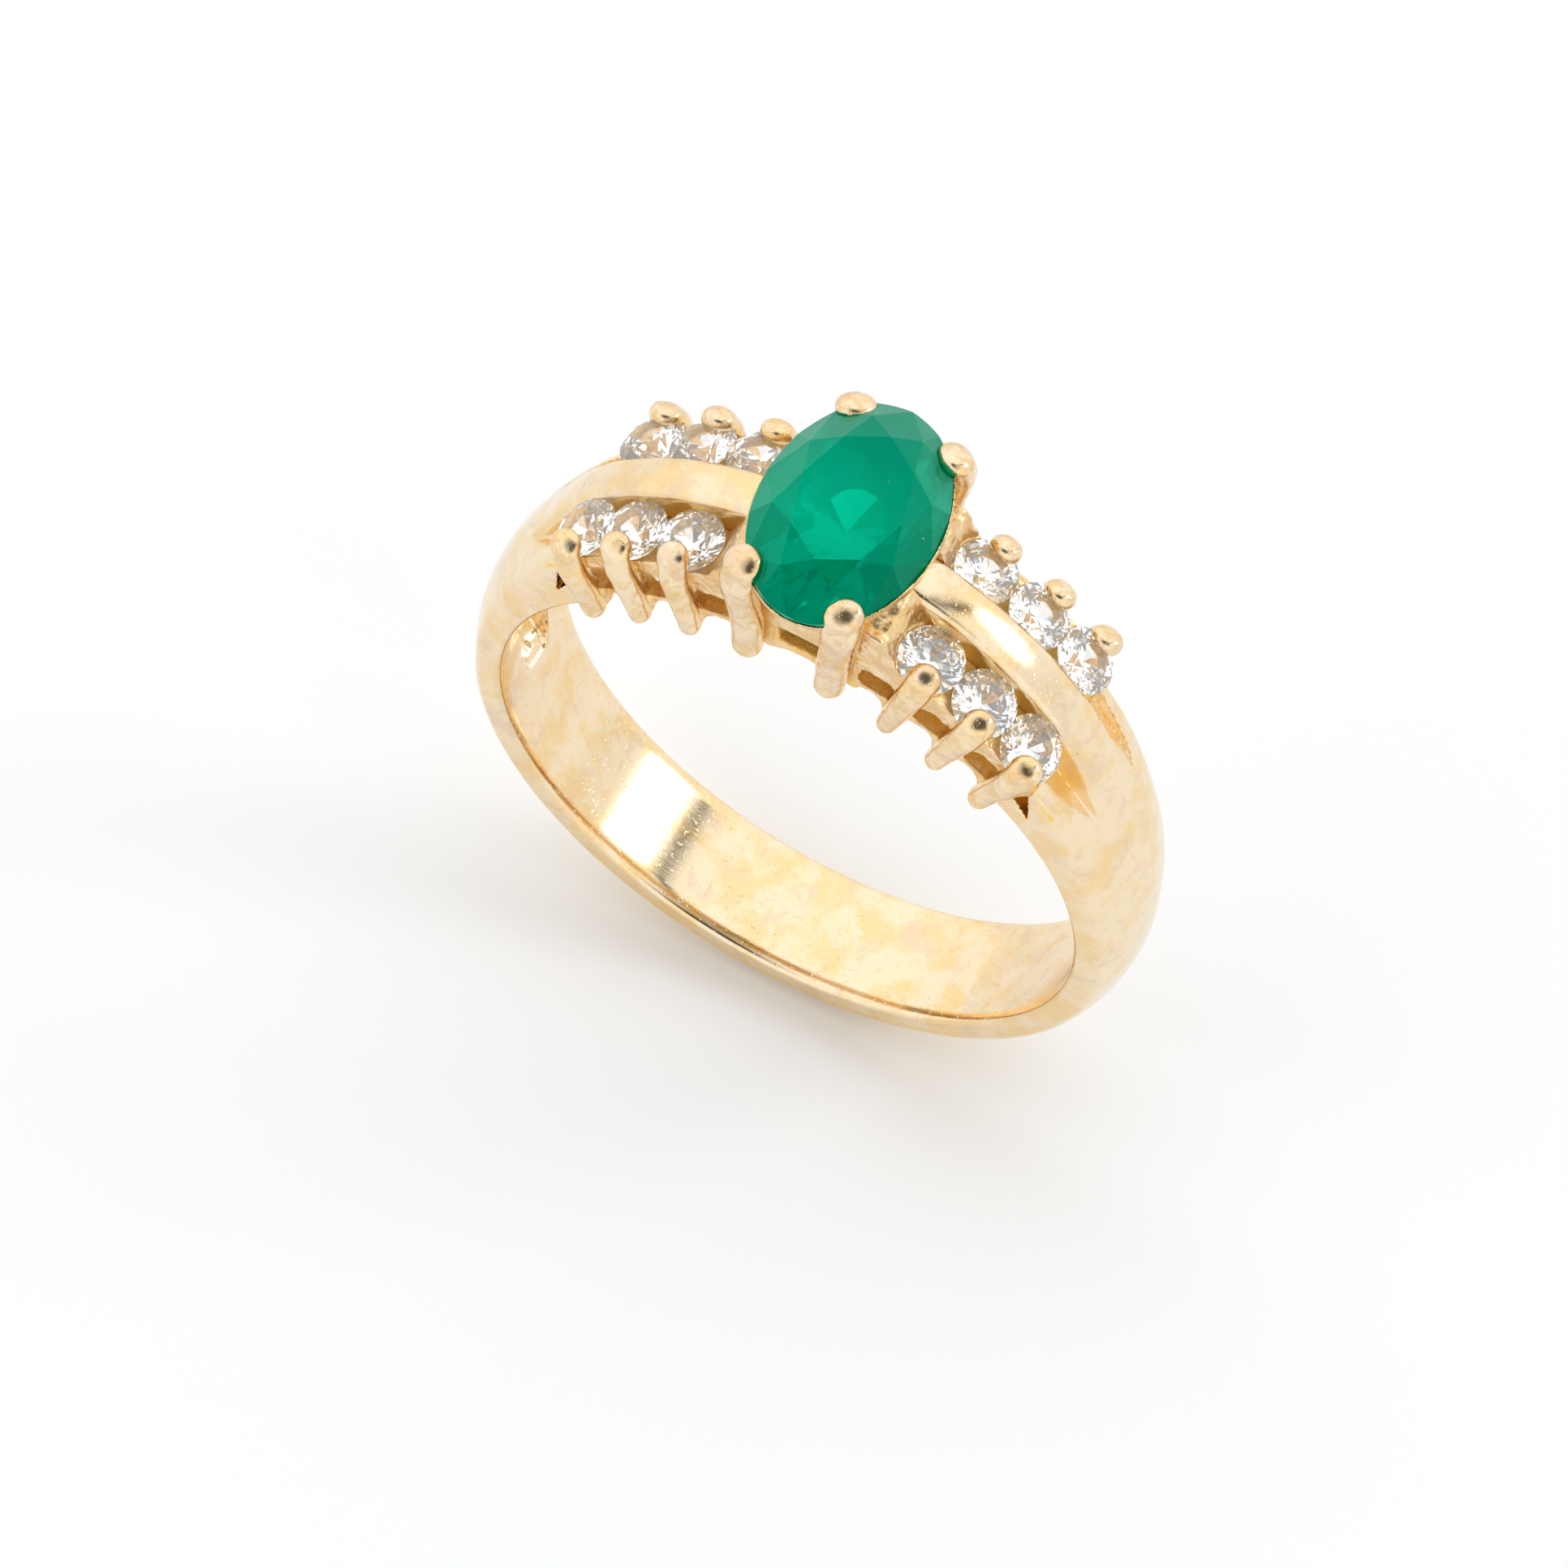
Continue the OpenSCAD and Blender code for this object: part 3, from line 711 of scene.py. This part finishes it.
def cut_away(bm, point, normal):
    """Keeps what lies behind a plane and closes the cut with one facet."""
    geometry = bm.verts[:] + bm.edges[:] + bm.faces[:]
    cut = bmesh.ops.bisect_plane(
        bm, geom=geometry, plane_co=point, plane_no=normal, clear_outer=True, dist=1e-5)["geom_cut"]
    edges = [e for e in cut if isinstance(e, bmesh.types.BMEdge) and e.is_boundary]
    if edges:
        bmesh.ops.holes_fill(bm, edges=edges, sides=0)


def facet(a, b, c):
    """A plane through three points, with its normal away from the stone's middle."""
    a, b, c = Vector(a), Vector(b), Vector(c)
    normal = (b - a).cross(c - a).normalized()
    return (a, normal if normal.dot(a) > 0 else -normal)


def cut_stone_mesh(name, crown, pavilion, girdle, table, star_length=0.49, lower=0.28, sides=96):
    """A brilliant cut of unit girdle radius, made by cutting flat facets from a disc, as a
    cutter does: 8 main facets, 8 stars and 16 halves above, 8 mains and 16 halves below."""
    bm = bmesh.new()
    bmesh.ops.create_cone(
        bm, cap_ends=True, segments=sides, radius1=1, radius2=1, depth=2 * (crown + pavilion))
    half = girdle / 2
    top = half + crown
    star_r = table + (1 - table) * star_length
    turn = math.radians(22.5)

    def at(r, angle, z):
        return Vector((r * math.cos(angle), r * math.sin(angle), z))

    star_z = half + (1 - star_r * math.cos(turn)) * crown / (1 - table)
    lower_z = -half - (1 - lower * math.cos(turn)) * pavilion
    planes = [((0, 0, top), Vector((0, 0, 1)))]
    for k in range(8):
        a = math.radians(45) * k
        along = at(1, a + math.pi / 2, 0)
        above, below = at(1, a, half), at(1, a, -half)
        planes.append(facet(above, at(table, a, top), above + along))
        star = at(star_r, a + turn, star_z)
        planes.append(facet(at(table, a, top), at(table, a + 2 * turn, top), star))
        planes.append(facet(below, (0, 0, -half - pavilion), below + along))
        for next_a in (a - turn, a + turn):
            planes.append(facet(above, at(1, next_a, half), at(star_r, next_a, star_z)))
            planes.append(facet(below, at(1, next_a, -half), at(lower, next_a, lower_z)))
    for point, normal in planes:
        cut_away(bm, point, normal)
    bmesh.ops.remove_doubles(bm, verts=bm.verts[:], dist=1e-4)
    bmesh.ops.recalc_face_normals(bm, faces=bm.faces[:])
    mesh = bpy.data.meshes.new(name)
    bm.to_mesh(mesh)
    bm.free()
    return mesh


def stone_piece(mesh, name, material, matrix):
    """A cut stone in place of a CAD node. shade is lower on the crown facets that face the front: a
    painted shade that makes them look deeper in colour."""
    piece = bpy.data.objects.new(name, mesh)
    bpy.context.scene.collection.objects.link(piece)
    mesh.transform(matrix)
    if matrix.determinant() < 0:
        mesh.flip_normals()
    mesh.shade_flat()
    normals = np.array([polygon.normal for polygon in mesh.polygons])
    facing_front = np.clip(-0.9 * normals[:, 1] + 0.25 * normals[:, 0], 0, 1)
    facing_front = facing_front * (normals[:, 2] > 0.1)
    shade = 1 - np.clip(2.2 * facing_front, 0, 0.92)
    layer = mesh.attributes.new("shade", "FLOAT", "FACE")
    layer.data.foreach_set("value", shade.astype(np.float32))
    mesh.materials.append(material)
    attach(piece, "root")
    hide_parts(name.replace("_cut", ""))
    return piece


# ---- materials ----

def feed(tree, socket, value):
    """Gives a node's input a link from another node, or a plain value."""
    if isinstance(value, bpy.types.NodeSocket):
        tree.links.new(value, socket)
    else:
        socket.default_value = value


class Nodes:
    """A short way to write a material's node tree."""

    def __init__(self, name):
        self.material = bpy.data.materials.new(name)
        self.material.use_nodes = True
        self.tree = self.material.node_tree
        self.shader = self.tree.nodes["Principled BSDF"]

    def node(self, kind, inputs=(), **settings):
        made = self.tree.nodes.new("ShaderNode" + kind)
        for key, value in settings.items():
            setattr(made, key, value)
        for key, value in dict(inputs).items():
            feed(self.tree, made.inputs[key], value)
        return made

    def place(self, stretch=(1, 1, 1)):
        """The point on the surface in millimetres, or in smaller or larger units."""
        coords = self.node("TexCoord").outputs["Object"]
        scale = [1000 * s for s in stretch]
        return self.node("Mapping", {"Vector": coords, "Scale": scale}).outputs["Vector"]

    def around(self, stretch):
        """The same in millimetres round the finger, along it and out from it."""
        split = self.node("SeparateXYZ", {0: self.node("TexCoord").outputs["Object"]}).outputs
        angle = self.maths("ARCTAN2", split["X"], split["Z"])
        squares = [self.maths("MULTIPLY", split[axis], split[axis]) for axis in ("X", "Z")]
        out = self.maths("POWER", self.maths("ADD", *squares), 0.5)
        joined = self.node("CombineXYZ", {
            0: self.maths("MULTIPLY", angle, 10 * stretch[0]),
            1: self.maths("MULTIPLY", split["Y"], 1000 * stretch[1]),
            2: self.maths("MULTIPLY", out, 1000 * stretch[2])})
        return joined.outputs[0]

    def noise(self, where, scale, detail=2.0, rough=0.5, distortion=0.0):
        made = self.node("TexNoise", {
            "Vector": where, "Scale": scale, "Detail": detail, "Roughness": rough,
            "Distortion": distortion})
        return made.outputs["Fac"]

    def ramp(self, value, *stops):
        made = self.node("ValToRGB", {"Fac": value})
        elements = made.color_ramp.elements
        while len(elements) < len(stops):
            elements.new(0.5)
        for element, (place, colour) in zip(elements, stops):
            element.position = place
            element.color = (*colour, 1) if len(colour) == 3 else colour
        return made.outputs["Color"]

    def grey(self, value, *stops):
        return self.ramp(value, *[(place, (g, g, g)) for place, g in stops])

    def mix(self, share, a, b):
        made = self.node("Mix", {0: share, 6: a, 7: b}, data_type="RGBA")
        return made.outputs[2]

    def maths(self, operation, a, b):
        return self.node("Math", {0: a, 1: b}, operation=operation).outputs[0]

    def set(self, key, value):
        feed(self.tree, self.shader.inputs[key], value)


PALE_GOLD = (0.91, 0.74, 0.505, 1)
WARM_GOLD = (0.895, 0.65, 0.325, 1)
PEACH = (0.79, 0.60, 0.44, 1)
TARNISH = (0.76, 0.49, 0.21, 1)
AMBER = (0.95, 0.63, 0.19, 1)
BROWN = (0.42, 0.24, 0.09, 1)


def gold(name, polish, grain, wear):
    """Yellow gold: polish is the roughness of its open surfaces, grain the depth in millimetres
    of its cast texture and wear (0 to 1) how much of it has gone brown. Recesses are rougher and
    catch brown dirt, and they get painted shade: darker and more amber, with some patina."""
    m = Nodes(name)
    here = m.place()
    recess_shade_and_dirt = m.node("Attribute", attribute_name="recess_shade_and_dirt").outputs["Fac"]
    cloud = m.noise(here, scale=0.75, detail=7, rough=0.66, distortion=0.3)
    blotch = m.noise(here, scale=0.9, detail=8, rough=0.7, distortion=0.5)
    fleck = m.noise(here, scale=14, detail=3, rough=0.7)
    base = m.mix(m.grey(cloud, (0.46, 0.0), (0.58, 0.9)), PALE_GOLD, WARM_GOLD)
    base = m.mix(m.grey(blotch, (0.55 - 0.1 * wear, 0.0), (0.63 - 0.1 * wear, 0.6)), base, PEACH)
    stain = m.noise(here, scale=2.1, detail=8, rough=0.72, distortion=0.9)
    low = 0.57 - 0.16 * wear
    base = m.mix(m.grey(stain, (low, 0.0), (low + 0.09, 0.3 + 0.55 * wear)), base, TARNISH)
    # Painted shade, with some patina: recesses are mixed towards amber.
    base = m.mix(m.maths("MULTIPLY", recess_shade_and_dirt, 0.9), base, AMBER)
    exposed = m.maths("ADD", m.maths("MULTIPLY", recess_shade_and_dirt, 1 - 0.4 * wear), 0.4 * wear)
    dirt = m.maths("MULTIPLY", exposed, m.grey(fleck, (0.55, 0.0), (0.68, 0.5)))
    base = m.mix(dirt, base, BROWN)
    m.set("Base Color", base)
    m.set("Metallic", 1.0)
    scratch = m.noise(m.around((0.1, 1.0, 1.0)), scale=26, detail=2, rough=0.6, distortion=0.3)
    rough = m.maths("ADD", m.maths("MULTIPLY", scratch, 0.12), polish - 0.05)
    rough = m.maths("ADD", rough, m.maths("MULTIPLY", recess_shade_and_dirt, 0.22))
    m.set("Roughness", rough)
    pits = m.grey(m.noise(here, 9, 1, 0.5), (0.26, 1.0), (0.33, 0.0))
    fine = m.node("Bump", {
        "Height": scratch, "Distance": 0.004 * MM, "Strength": 0.5})
    pitted = m.node("Bump", {
        "Height": m.maths("MULTIPLY", pits, -1.0), "Distance": 0.02 * MM,
        "Normal": fine.outputs[0], "Strength": 0.3})
    cast_share = m.maths("ADD", m.maths("MULTIPLY", recess_shade_and_dirt, 0.9), 0.1)
    cast = m.maths("MULTIPLY", m.noise(here, 11, 4, 0.65), cast_share)
    grainy = m.node("Bump", {
        "Height": cast, "Distance": grain * MM, "Normal": pitted.outputs[0], "Strength": 1.0})
    m.set("Normal", grainy.outputs[0])
    return m.material


def green_stone():
    """Milky green: part of the light is scattered in the body, part goes through to the facets
    behind.
    The middle has a painted glow, and each crown facet has its own painted shade, darker towards
    the front."""
    m = Nodes("green_stone")
    here = m.place()
    # Painted glow: the base colour is lighter near a point inside the stone.
    heart = (-0.35, -0.75, 13.2)
    from_heart = m.node("VectorMath", {0: here, 1: heart}, operation="DISTANCE").outputs["Value"]
    cloud = m.noise(here, scale=0.6, detail=3, rough=0.5, distortion=0.6)
    depth = m.maths("ADD", m.maths("MULTIPLY", from_heart, 0.3), m.maths("MULTIPLY", cloud, 0.3))
    glow = m.grey(depth, (0.25, 1.0), (1.0, 0.0))
    base = m.mix(glow, (0.0, 0.5, 0.27, 1), (0.0, 0.86, 0.5, 1))
    # Painted shade on the crown facets that face the front.
    shade = m.node("Attribute", attribute_name="shade").outputs["Fac"]
    base = m.mix(shade, (0.0, 0.26, 0.12, 1), base)
    dust = m.node("TexVoronoi", {"Vector": here, "Scale": 1.3}).outputs["Distance"]
    base = m.mix(m.grey(dust, (0.028, 1.0), (0.036, 0.0)), base, (0.7, 1.0, 0.9, 1))
    m.set("Base Color", base)
    m.set("Roughness", 0.04)
    m.set("IOR", 1.57)
    m.set("Transmission Weight", 0.6)
    m.set("Specular IOR Level", 0.5)
    m.set("Specular Tint", (0.0, 1.0, 0.8, 1))
    return m.material


def white_stone():
    m = Nodes("white_stone")
    here = m.place()
    haze = m.noise(here, 2.2, 2, 0.5)
    m.set("Base Color", m.mix(haze, (0.975, 0.98, 0.99, 1), (0.99, 0.985, 0.98, 1)))
    m.set("Roughness", 0.02)
    m.set("IOR", 2.0)
    # Painted glow: a faint white emission brightens the stones.
    m.set("Emission Color", (1.0, 0.97, 0.95, 1))
    m.set("Emission Strength", 0.04)
    m.set("Transmission Weight", 1.0)
    return m.material


def floor_material():
    m = Nodes("pale_floor")
    here = m.place((0.02, 0.02, 0.02))
    tone = m.noise(here, 1.0, 2, 0.5)
    m.set("Base Color", m.mix(tone, (0.96, 0.975, 0.99, 1), (0.965, 0.98, 0.995, 1)))
    m.set("Roughness", 0.9)
    m.set("Specular IOR Level", 0.1)
    return m.material


# ---- camera, floor and light ----

def make_camera():
    azimuth, elevation, roll = math.radians(22.33), math.radians(61.25), math.radians(7.04)
    middle_of_view = Vector((-0.54, -0.91, -0.35))
    distance = 607
    back = Vector((
        math.sin(azimuth) * math.cos(elevation), -math.cos(azimuth) * math.cos(elevation),
        math.sin(elevation)))
    data = bpy.data.cameras.new("camera")
    data.sensor_width = 36
    data.lens = 515.75
    data.clip_start, data.clip_end = 0.01, 20
    camera = bpy.data.objects.new("camera", data)
    bpy.context.scene.collection.objects.link(camera)
    camera.rotation_mode = "QUATERNION"
    camera.location = (middle_of_view + back * distance) * MM
    camera.rotation_quaternion = (-back).to_track_quat("-Z", "Y") @ Quaternion((0, 0, 1), roll)
    bpy.context.scene.camera = camera
    return back


def make_floor():
    size, low = 1.5, cad_low.z
    mesh = bpy.data.meshes.new("floor")
    corners = [(-size, -size, low), (size, -size, low), (size, size, low), (-size, size, low)]
    mesh.from_pydata(corners, [], [(0, 1, 2, 3)])
    mesh.materials.append(floor_material())
    floor = bpy.data.objects.new("floor", mesh)
    bpy.context.scene.collection.objects.link(floor)


def make_world(toward_camera):
    """A white studio: brighter overhead, dimmer at the right, with a dark strip that shows inside
    the band and the dark camera that shows in the claw tips."""
    world = bpy.data.worlds.new("studio")
    bpy.context.scene.world = world
    world.use_nodes = True
    tree = world.node_tree
    background = tree.nodes["Background"]
    coords = tree.nodes.new("ShaderNodeTexCoord").outputs["Generated"]

    def patch(direction, full_deg, none_deg):
        """1 within full_deg of a direction, 0 beyond none_deg."""
        direction = Vector(direction).normalized()
        dot = tree.nodes.new("ShaderNodeVectorMath")
        dot.operation = "DOT_PRODUCT"
        tree.links.new(coords, dot.inputs[0])
        dot.inputs[1].default_value = direction
        ramp = tree.nodes.new("ShaderNodeMapRange")
        ramp.interpolation_type = "SMOOTHSTEP"
        tree.links.new(dot.outputs["Value"], ramp.inputs["Value"])
        ramp.inputs["From Min"].default_value = math.cos(math.radians(none_deg))
        ramp.inputs["From Max"].default_value = math.cos(math.radians(full_deg))
        return ramp.outputs["Result"]

    def maths(operation, a, b):
        made = tree.nodes.new("ShaderNodeMath")
        made.operation = operation
        feed(tree, made.inputs[0], a)
        feed(tree, made.inputs[1], b)
        return made.outputs[0]

    def band(start, end, half_deg):
        """1 along the narrow arc from one direction to another."""
        start, end = Vector(start).normalized(), Vector(end).normalized()
        pole = start.cross(end)
        reach = math.degrees(start.angle(end)) / 2
        beside = patch(pole, 90 - half_deg, 90 + half_deg)
        both = maths("MULTIPLY", maths("MULTIPLY", beside, maths("SUBTRACT", 1.0, beside)), 4.0)
        narrow = maths("POWER", both, 2.0)
        return maths("MULTIPLY", narrow, patch((start + end) / 2, reach, reach + 3))

    def mix(share, a, b):
        made = tree.nodes.new("ShaderNodeMix")
        feed(tree, made.inputs[0], share)
        feed(tree, made.inputs[2], a)
        feed(tree, made.inputs[3], b)
        return made.outputs[0]

    level = 1.13
    level = mix(patch((-0.3, 0.4, 0.85), 15, 60), level, 1.25)
    level = mix(patch((0.95, 0.3, 0.1), 10, 35), level, 0.95)
    level = mix(band(toward_camera, (0.56, 0.45, 0.69), 6.5), level, 0.0)
    level = mix(patch(toward_camera, 22, 36), level, 0.7)
    level = mix(patch(toward_camera, 14, 24), level, 0.1)
    tree.links.new(level, background.inputs["Strength"])
    background.inputs["Color"].default_value = (1.0, 1.0, 1.0, 1)


def make_sun():
    data = bpy.data.lights.new("key", "SUN")
    data.energy = 0.31
    data.angle = math.radians(19)
    sun = bpy.data.objects.new("key", data)
    bpy.context.scene.collection.objects.link(sun)
    sun.rotation_mode = "QUATERNION"
    sun.rotation_quaternion = Vector((-0.72, -0.48, -0.50)).to_track_quat("-Z", "Y")


# ---- the ring ----

def quarter_sign(face, side):
    return (-1 if side == "left" else 1, -1 if face == "back" else 1)


def make_metal():
    polished = gold("polished_gold", 0.12, 0.006, 0.08)
    cast = gold("cast_gold", 0.26, 0.04, 0.8)
    claws = gold("claw_gold", 0.17, 0.01, 0.55)

    points, faces = surface_net(
        shank_field, (7.2, -2.2, 8.6), (55.7, 2.2, 11.6), (0.06, 0.05, 0.05),
        [(0, -1, SHOULDER * UNROLL_R), (0, 1, (math.tau - SHOULDER) * UNROLL_R)])
    metal_piece("shank_cast", "shank", polished,
                bend(points), faces, shank_relief, shank_recess)

    points, faces = surface_net(
        ribbon_field, (1.4, -0.85, 9.0), (7.45, 0.85, 13.0), (0.035, 0.035, 0.035),
        [(0, 1, SHOULDER * UNROLL_R)])
    points = bend(points)
    for side in SIDES:
        flip = quarter_sign("front", side)
        metal_piece("ribbon_bar_" + side, "ribbon_" + side, polished,
                    points, faces, ribbon_relief, ribbon_recess, flip)

    points, faces = surface_net(head_field, (-2.8, -3.8, 8.9), (2.8, 3.8, 13.8), (0.04, 0.04, 0.04))
    metal_piece("centre_head_cup", "centre_head", cast,
                points, faces, head_relief, head_recess)

    for face in FACES:
        for side in SIDES:
            quarter = face + "_" + side
            flip = quarter_sign(face, side)
            field = gallery_field(face, side)
            points, faces = surface_net(
                field, (1.2, -2.7, 8.9), (7.45, -0.6, 13.6), (0.035, 0.035, 0.035),
                [(0, 1, SHOULDER * UNROLL_R)])
            hidden = occlusion(field, points, faces, 0.5)
            recess_shade_and_dirt = functools.partial(gallery_recess, hidden=hidden)
            metal_piece("gallery_wall_" + quarter, "gallery_" + quarter, cast,
                        bend(points), faces, gallery_relief, recess_shade_and_dirt, flip)
            field, low, high = main_claw_field(face, side)
            points, faces = surface_net(field, low, high, (0.035, 0.035, 0.035))
            metal_piece("centre_prong_" + quarter, "centre_claw_" + quarter, claws,
                        points, faces, claw_relief, main_claw_recess)
            for i in STONES:
                field, low, high = accent_claw_field(face, side, i)
                points, faces = surface_net(field, low, high, (0.03, 0.03, 0.03))
                name = quarter + "_" + str(i)
                metal_piece("accent_prong_" + name, "accent_claw_" + name, claws,
                            points, faces, claw_relief, claw_recess, flip)


def make_stones():
    green, white = green_stone(), white_stone()
    mesh = cut_stone_mesh(
        "centre_stone_cut", CENTRE_CROWN, CENTRE_PAVILION, CENTRE_GIRDLE, CENTRE_TABLE)
    place = (Matrix.Translation((0, 0, CENTRE_Z * MM)) @ centre_axes().to_4x4()
             @ Matrix.Diagonal((CENTRE_W / 2 * MM, CENTRE_LEN / 2 * MM, MM, 1)))
    stone_piece(mesh, "centre_stone_cut", green, place)
    number = 0
    for face in FACES:
        for side in SIDES:
            flip = quarter_sign(face, side)
            for i in STONES:
                name = "accent_stone_%s_%s_%d_cut" % (face, side, i)
                mesh = cut_stone_mesh(
                    name, ACCENT_CROWN, ACCENT_PAVILION, ACCENT_GIRDLE, ACCENT_TABLE)
                centre, turn = accent_place(face, side, i)
                spin = Matrix.Rotation(math.radians(17.0 * number), 4, "Z")
                number += 1
                size = Matrix.Diagonal((ACCENT_GIRDLE_R * MM, ACCENT_GIRDLE_R * MM, MM, 1))
                place = (Matrix.Diagonal((flip[0], flip[1], 1, 1)) @ Matrix.Translation(centre * MM)
                         @ turn.to_4x4() @ spin @ size)
                stone_piece(mesh, name, white, place)


toward_camera = make_camera()
make_floor()
make_world(toward_camera)
make_sun()
make_metal()
make_stones()
bpy.context.scene.view_settings.view_transform = "Standard"
